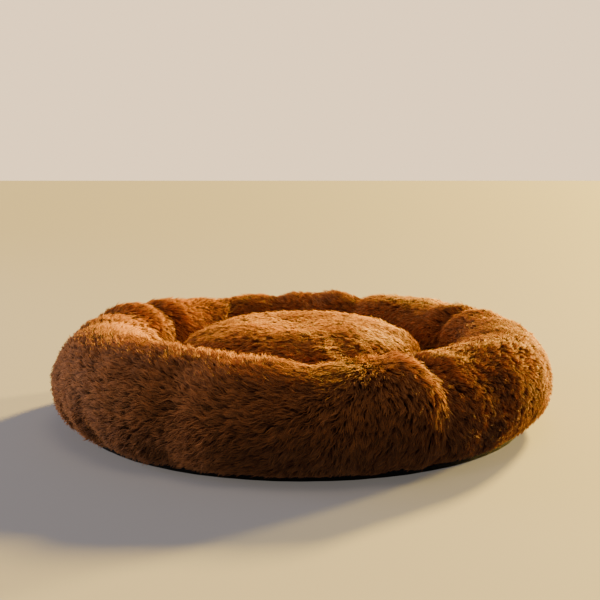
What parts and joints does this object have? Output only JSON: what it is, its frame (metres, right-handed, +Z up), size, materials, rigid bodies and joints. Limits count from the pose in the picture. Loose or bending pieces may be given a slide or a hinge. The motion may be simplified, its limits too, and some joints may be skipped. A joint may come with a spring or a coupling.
{
  "type": "pet cushion bed",
  "caption": "Round plush pet bed: a soft bolster ring on a flat non-slip base with a loose, plump, zipped cushion in its well.",
  "frame": {"origin": "centre of the base, on the surface that the bed stands on", "axes": "+Z up; -Y towards the front of the bed, the zip being round the back; +X to the right seen from the front"},
  "size_m": [0.594, 0.594, 0.12],
  "materials": {
    "plush": "long faux fur pile",
    "base_fabric": "black woven fabric with fine non-slip dots",
    "lining": "plain woven lining",
    "fibre": "loose polyester fibre",
    "bag": "thin non-woven",
    "label": "satin ribbon, blank",
    "zip_tape": "woven tape",
    "zip_teeth": "moulded",
    "zip_metal": "painted die-cast"
  },
  "bodies": {
    "bed_body": {"base_nonslip_panel": "base_fabric", "base_side_band": "base_fabric", "base_wadding": "fibre", "floor_lining": "lining", "inner_seam_tape": "lining", "bolster_fill": "fibre", "care_label": "label", "bolster_gore_1": "plush", "bolster_gore_2": "plush", "bolster_gore_3": "plush", "bolster_gore_4": "plush", "bolster_gore_5": "plush", "bolster_gore_6": "plush"},
    "cushion": {"cushion_top_panel": "plush", "cushion_bottom_panel": "lining", "inner_bag_top": "bag", "inner_bag_bottom": "bag", "cushion_fill": "fibre", "zip_tape_upper": "zip_tape", "zip_tape_lower": "zip_tape", "zip_teeth_upper": "zip_teeth", "zip_teeth_lower": "zip_teeth", "zip_stops": "zip_teeth"},
    "zip_slider": {"zip_slider": "zip_metal"},
    "zip_pull": {"zip_pull": "zip_metal"}
  },
  "joints": [
    {"name": "cushion_lift", "type": "slide", "parent": "bed_body", "child": "cushion", "axis": [0, 0, 1], "range_m": [0, 0.15]},
    {"name": "zip_slider_run", "type": "hinge", "parent": "cushion", "child": "zip_slider", "pos_m": [0, 0, 0.032], "axis": [0, 0, 1], "range_deg": [0, 90]},
    {"name": "zip_pull_swing", "type": "hinge", "parent": "zip_slider", "child": "zip_pull", "pos_m": [0.09805, 0.09805, 0.03073], "axis": [-0.2932, -0.2932, -0.91], "range_deg": [0, 170]}
  ]
}
